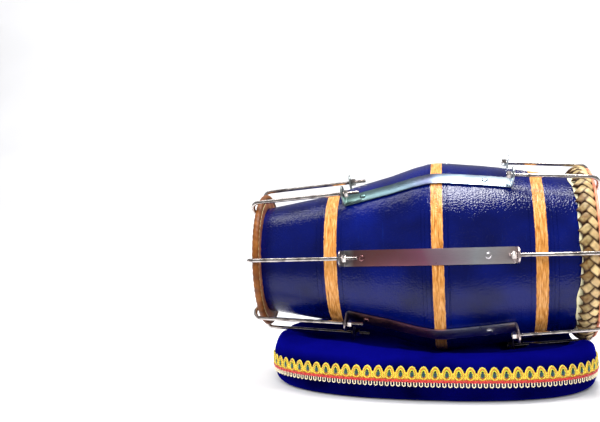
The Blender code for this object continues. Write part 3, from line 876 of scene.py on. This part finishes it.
class DRUM_OT_plait(bpy.types.Operator):
    """Plait the two rows of hide strips round the bass rim"""
    bl_idname = "drum.plait"
    bl_label = "Plaited ring"

    def execute(self, context):
        looks = context.scene.drum_head
        dice = random.Random(4)
        core = turned("bass_plait",
                      [(192.0, 104.6), (192.4, 107.0), (190.6, 109.4), (186.8, 110.8),
                       (178.0, 110.6), (174.6, 108.4), (173.6, 105.2), (192.0, 104.6)], 96)
        core.data.attributes.new("tone", "FLOAT", "POINT")
        take()
        bpy.ops.mesh.primitive_cube_add(size=1.0)
        tile = named("tile")
        tile.data.transform(Matrix.Diagonal((*(Vector(TILE) * MM), 1.0)))
        take(tile)
        editing()
        bpy.ops.mesh.subdivide(number_cuts=4)
        mode("OBJECT")
        # How near each point is to its tile's edge, for the painted shade where the strips meet.
        rim = []
        for vertex in tile.data.vertices:
            across, up = vertex.co.y / (TILE[1] * MM / 2), vertex.co.x / (TILE[0] * MM / 2)
            rim.append(max(abs(across), abs(up)))
            vertex.co.z *= 1.0 - 0.5 * across ** 4 - 0.4 * up ** 4
        tile.data.attributes.new("rim", "FLOAT", "POINT").data.foreach_set("value", rim)
        middle, radius = BRAID_MIDDLE
        rows = ((-4.9, TILE_LEAN, 0.0), (5.0, -TILE_LEAN, 0.5))
        tiles = [core]
        for row, (across, lean, phase) in enumerate(rows):
            for k in range(looks.tiles):
                copy = tile.copy()
                copy.data = tile.data.copy()
                bpy.context.collection.objects.link(copy)
                at = (k + phase) / looks.tiles * 2 * pi * radius
                turn = Matrix.Rotation(radians(lean + dice.uniform(-4, 4)), 4, "Z")
                tip = Matrix.Rotation(radians(7.0 * (-1) ** row), 4, "Y")
                copy.data.transform(turn @ tip)
                for vertex in copy.data.vertices:
                    x, y, z = vertex.co / MM
                    theta = (at + x) / radius
                    axial = across + y
                    lift = z - 0.042 * axial ** 2
                    out = radius + lift
                    vertex.co = Vector((middle + axial, -out * cos(theta),
                                        out * sin(theta))) * MM
                    vertex.co.z += AXIS
                tone = copy.data.attributes.new("tone", "FLOAT", "POINT")
                base = (0.46, 0.80)[row] + dice.uniform(-0.15, 0.15)
                tone.data.foreach_set("value", [base] * len(copy.data.vertices))
                tiles.append(copy)
        plait = joined(*tiles)
        bpy.data.objects.remove(tile)
        take(plait)
        bpy.ops.object.shade_smooth_by_angle(angle=radians(50.0))
        dress(plait, plaited_leather(looks), "drum", "plaited_leather", "bass_braid")
        return {"FINISHED"}


class DRUM_OT_cushion(bpy.types.Operator):
    """Stuff the velvet cushion that the drum has pressed a nest into"""
    bl_idname = "drum.cushion"
    bl_label = "Cushion"

    def clearance(self, place):
        """How far a point is outside the drum, in millimetres."""
        axial = place.x / MM
        room = table(SHELL_OUTER, axial) if axial > SHELL_OUTER[0][0] else 0.0
        if BASS_END[0] < axial < BASS_END[1]:
            room = BASS_END[2]
        return off_axis(place) / MM - room

    def execute(self, context):
        looks = context.scene.drum_cushion
        pad = linked("cushion_velvet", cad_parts["cushion"].data.copy())
        closed_up(pad)
        modified(pad, "REMESH", mode="VOXEL", voxel_size=looks.voxel)
        modified(pad, "SMOOTH", factor=0.5, iterations=4)
        self.stuff(context.scene, pad, looks)
        modified(pad, "SUBSURF", levels=1, render_levels=1)
        for vertex in pad.data.vertices:
            place = vertex.co
            place.z = max(place.z, 0.0)
            short = NEST_GAP - self.clearance(place)
            if short > 0:
                out = Vector((0.0, place.y, place.z - AXIS)).normalized()
                vertex.co = place + out * short * MM
        take(pad)
        bpy.ops.object.shade_smooth()
        dress(pad, cotton_velvet(looks), "cushion", "blue_velvet", "cushion")
        return {"FINISHED"}

    def stuff(self, scene, pad, looks):
        """Blow the pad up a little, held where the drum and the floor press on it."""
        held = pad.vertex_groups.new(name="pressed")
        for vertex in pad.data.vertices:
            near = clamped((16.0 - self.clearance(vertex.co)) / 8.0)
            low = clamped((4.0 - vertex.co.z / MM) / 3.0)
            held.add([vertex.index], max(near, low), "REPLACE")
        before = [vertex.co.copy() for vertex in pad.data.vertices]
        take(pad)
        cloth = pad.modifiers.new("stuffing", "CLOTH")
        cloth.settings.use_pressure = True
        cloth.settings.uniform_pressure_force = looks.pressure
        cloth.settings.vertex_group_mass = held.name
        cloth.settings.effector_weights.gravity = 0.0
        for number in range(1, CLOTH_FRAMES + 1):
            scene.frame_set(number)
        bpy.ops.object.modifier_apply(modifier=cloth.name)
        scene.frame_set(1)
        for vertex, start in zip(pad.data.vertices, before):
            moved = vertex.co - start
            if moved.length > looks.swell:
                vertex.co = start + moved * (looks.swell / moved.length)


class DRUM_OT_trim(bpy.types.Operator):
    """Sew the scalloped lace round the cushion's wall"""
    bl_idname = "drum.trim"
    bl_label = "Lace trim"

    def outline(self):
        """(point, outward direction, length so far) round the cushion's oval, millimetres."""
        a, b = CUSHION_SIZE[0] / 2, CUSHION_SIZE[1] / 2
        p = 2.0 / OVAL_POWER
        turn = Matrix.Rotation(radians(CUSHION_TURN), 2)
        made, length, last = [], 0.0, None
        for k in range(OVAL_POINTS + 1):
            t = 2 * pi * (k + 0.5) / OVAL_POINTS
            c, s = cos(t), sin(t)
            here = Vector((a * copysign(abs(c) ** p, c), b * copysign(abs(s) ** p, s)))
            out = Vector((copysign(abs(c) ** (2 - p), c) / a,
                          copysign(abs(s) ** (2 - p), s) / b)).normalized()
            if last is not None:
                length += (here - last).length
            last = here
            rise = abs(here.y) / b
            made.append((turn @ here + Vector(CUSHION_AT), turn @ out, length, rise))
        return made

    def motif(self, pitch):
        """One scallop with its eye, the red cord's stretch and the loops under it."""
        half = pitch / 2

        def arch(low, high, wide, depth):
            return [Vector((half + wide * cos(t), -depth, low + (high - low) * sin(t)))
                    for t in [pi * k / 8 for k in range(9)]]

        def wave(height, size, depth, phase):
            return [Vector((pitch * k / 8, -depth, height + size * sin(
                2 * pi * k / 4 + phase))) for k in range(9)]

        def loop(left, gap):
            return [Vector((left, -0.9, 6.2)), Vector((left, -1.1, 1.6)),
                    Vector((left + gap / 2, -1.2, 0.7)), Vector((left + gap, -1.1, 1.6)),
                    Vector((left + gap, -0.9, 6.2))]

        parts = []
        for material, radius, line in (
                ("gold", 0.95, arch(11.0, 24.6, half - 0.9, 1.2)),
                ("amber", 0.6, arch(11.0, 23.0, half - 2.3, 1.7)),
                ("lime", 0.75, arch(11.0, 21.4, half - 3.4, 1.5)),
                ("gold", 0.7, [Vector((0.1, -1.5, 17.5)), Vector((half * 0.5, -1.8, 12.0)),
                               Vector((half - 0.7, -1.6, 10.0))]),
                ("gold", 0.7, [Vector((pitch - 0.1, -1.5, 17.5)),
                               Vector((pitch - half * 0.5, -1.8, 12.0)),
                               Vector((half + 0.7, -1.6, 10.0))]),
                ("red", 0.9, wave(8.4, 0.6, 1.7, 0.0)),
                ("red", 0.75, wave(6.8, 0.5, 1.5, pi / 2)),
                ("cream", 0.7, loop(pitch / 8, pitch / 4)),
                ("cream", 0.7, loop(pitch * 5 / 8, pitch / 4))):
            part = tube(material, line, radius, 0)
            part.data.materials.append(self.threads[material])
            parts.append(part)
        take()
        bpy.ops.mesh.primitive_ico_sphere_add(subdivisions=1, radius=1.0 * MM)
        eye = named("eye")
        eye.data.transform(Matrix.Translation(Vector((half, -1.5, 15.6)) * MM)
                           @ Matrix.Diagonal((2.6, 1.3, 3.6, 1.0)))
        eye.data.materials.append(self.threads["teal"])
        return joined(*parts, eye)

    def execute(self, context):
        self.threads = {name: thread(f"{name} rayon thread", dark, light)
                        for name, dark, light in (
                            ("gold", "#b8941a", "#f4e04a"), ("amber", "#9a4a12", "#e0962e"),
                            ("lime", "#7f8a14", "#e2e63c"), ("teal", "#021a22", "#0a4a50"),
                            ("red", "#8e0c14", "#e02c2c"), ("cream", "#d2bd86", "#fff6dc"))}
        edge = self.outline()
        length = edge[-1][2]
        pitch = length / TRIM_MOTIFS
        lace = self.motif(pitch)
        modified(lace, "ARRAY", count=TRIM_MOTIFS, use_relative_offset=False,
                 use_constant_offset=True, constant_offset_displace=(pitch * MM, 0.0, 0.0))
        tape = self.tape(length)
        tape.data.materials.append(self.threads["amber"])
        lace = joined(lace, tape)
        lace.name = lace.data.name = "cushion_lace"
        pad = bpy.data.objects["cushion_velvet"]
        tree = BVHTree.FromPolygons([v.co for v in pad.data.vertices],
                                    [p.vertices for p in pad.data.polygons])
        index = 0
        order = sorted(range(len(lace.data.vertices)),
                       key=lambda k: lace.data.vertices[k].co.x)
        for k in order:
            vertex = lace.data.vertices[k]
            along, depth, high = vertex.co / MM
            along = min(max(along, 0.0), length - 0.001)
            while edge[index + 1][2] < along:
                index += 1
            p0, n0, s0, r0 = edge[index]
            p1, n1, s1, r1 = edge[index + 1]
            share = (along - s0) / (s1 - s0)
            here, out = p0.lerp(p1, share), n0.lerp(n1, share).normalized()
            rise = r0 + (r1 - r0) * share
            low = TRIM_LOW[0] + TRIM_LOW[1] * rise ** 2
            wall = Vector((here.x, here.y, low + high)) * MM
            inward = Vector((-out.x, -out.y, 0.0))
            hit = tree.ray_cast(wall - inward * REACH * MM, inward, 2 * REACH * MM)[0]
            vertex.co = (hit or wall) + inward * depth * MM
        closed_up(lace, 60.0)
        dress(lace, None, "cushion", "lace_trim", "cushion_trim")
        return {"FINISHED"}

    def tape(self, length):
        """The woven tape behind the threads."""
        take()
        steps = TRIM_MOTIFS * 4
        bpy.ops.mesh.primitive_grid_add(x_subdivisions=steps, y_subdivisions=4, size=1.0,
                                        rotation=(radians(90.0), 0.0, 0.0))
        tape = named("tape")
        tape.data.transform(Matrix.Translation(Vector((length / 2, -0.35, 12.8)) * MM)
                            @ Matrix.Diagonal((length * MM, 1.0, 11.0 * MM, 1.0)))
        return tape


class DRUM_OT_stage(bpy.types.Operator):
    """Lay the studio paper, hang the soft boxes and set the camera"""
    bl_idname = "drum.stage"
    bl_label = "Stage"

    def sheet(self, name, front, back):
        """A flat sheet of paper between two depths, its edges ready to select."""
        take()
        bpy.ops.mesh.primitive_plane_add(size=PAPER_WIDE)
        sheet = named(name)
        sheet.data.transform(Matrix.Translation((0.0, (front + back) / 2, 0.0))
                             @ Matrix.Diagonal((1.0, (back - front) / PAPER_WIDE, 1.0, 1.0)))
        editing("DESELECT")
        bpy.ops.mesh.select_mode(type="EDGE")
        mode("OBJECT")
        return sheet

    def light(self, name, place, aim, size, power, mirrored=True):
        """A soft box aimed at a point, which shiny pieces may mirror or not."""
        data = bpy.data.lights.new(name, "AREA")
        data.shape = "RECTANGLE"
        data.size, data.size_y = size
        data.energy = power
        lamp = linked(name, data)
        lamp.location = place
        lamp.rotation_euler = (Vector(aim) - Vector(place)).to_track_quat("-Z", "Y").to_euler()
        lamp.visible_glossy = mirrored

    def execute(self, context):
        looks = context.scene.drum_stage
        near = self.sheet("studio_paper", PAPER_FRONT, PAPER_FOLD)
        far = self.sheet("studio_backdrop", PAPER_FOLD, PAPER_BACK)
        for edge in far.data.edges:
            edge.select = all(far.data.vertices[k].co.y > PAPER_FOLD + MM for k in edge.vertices)
        mode("EDIT")
        extruded((0.0, 0.0, PAPER_RISE))
        mode("OBJECT")
        modified(far, "BEVEL", width=PAPER_CURVE, segments=16, limit_method="ANGLE")
        bpy.ops.object.shade_smooth()
        far.visible_glossy = False
        paper = pale_floor(looks)
        for sheet in (near, far):
            sheet.data.materials.append(paper)

        self.light("overhead soft box", (0.18, -0.06, 1.5), (0.05, 0.0, 0.15), (0.7, 0.3),
                   looks.key_power)
        self.light("left diffuser", (-1.5, -0.7, 1.1), (-0.05, 0.0, 0.15), (1.2, 1.0),
                   looks.fill_power, False)
        self.light("front diffuser", (0.4, -2.6, 1.5), (0.0, 0.0, 0.15), (1.6, 1.2),
                   looks.front_power, False)
        self.light("backdrop soft box", (0.0, 0.9, 3.2), (0.0, 2.9, 0.6), (5.0, 1.0),
                   looks.backdrop_power)
        world = bpy.data.worlds.new("white studio")
        world.use_nodes = True
        background = world.node_tree.nodes["Background"]
        background.inputs["Color"].default_value = linear("#ffffff")
        background.inputs["Strength"].default_value = looks.ambient
        context.scene.world = world
        context.scene.view_settings.view_transform = "Standard"

        data = bpy.data.cameras.new("camera")
        data.sensor_width = 36.0
        data.lens = looks.lens
        data.clip_start, data.clip_end = 0.01, 50.0
        camera = linked("camera", data)
        camera.location = CAMERA_AT
        yaw = Matrix.Rotation(radians(CAMERA_YAW), 3, "Z")
        pitch = Matrix.Rotation(radians(90.0 - CAMERA_DOWN), 3, "X")
        roll = Matrix.Rotation(radians(CAMERA_ROLL), 3, "Z")
        camera.rotation_euler = (yaw @ pitch @ roll).to_euler()
        context.scene.camera = camera
        return {"FINISHED"}


class DRUM_PT_workshop(bpy.types.Panel):
    """Buttons and settings for every piece of the drum"""
    bl_idname = "DRUM_PT_workshop"
    bl_label = "Drum"
    bl_space_type = "VIEW_3D"
    bl_region_type = "UI"
    bl_category = "Drum"

    def draw(self, context):
        for operator in OPERATORS:
            self.layout.operator(operator.bl_idname)
        for name, group in SETTINGS.items():
            box = self.layout.box()
            for key in group.__annotations__:
                box.prop(getattr(context.scene, name), key)


OPERATORS = (DRUM_OT_stage, DRUM_OT_shell, DRUM_OT_straps, DRUM_OT_rods, DRUM_OT_treble_head,
             DRUM_OT_bass_head, DRUM_OT_plait, DRUM_OT_cushion, DRUM_OT_trim)
SETTINGS = {"drum_shell": ShellLooks, "drum_metal": MetalLooks, "drum_head": HeadLooks,
            "drum_cushion": CushionLooks, "drum_stage": StageLooks}


def register():
    for item in (*SETTINGS.values(), *OPERATORS, DRUM_PT_workshop):
        bpy.utils.register_class(item)
    for name, group in SETTINGS.items():
        setattr(bpy.types.Scene, name, PointerProperty(type=group))


def unregister():
    for name in SETTINGS:
        delattr(bpy.types.Scene, name)
    for item in (DRUM_PT_workshop, *reversed(OPERATORS), *SETTINGS.values()):
        bpy.utils.unregister_class(item)


def main():
    register()
    bpy.ops.drum.stage()
    bpy.ops.drum.shell()
    bpy.ops.drum.straps()
    bpy.ops.drum.rods()
    bpy.ops.drum.treble_head()
    bpy.ops.drum.bass_head()
    bpy.ops.drum.plait()
    bpy.ops.drum.cushion()
    bpy.ops.drum.trim()
    bpy.context.view_layer.update()


if __name__ == "__main__":
    main()
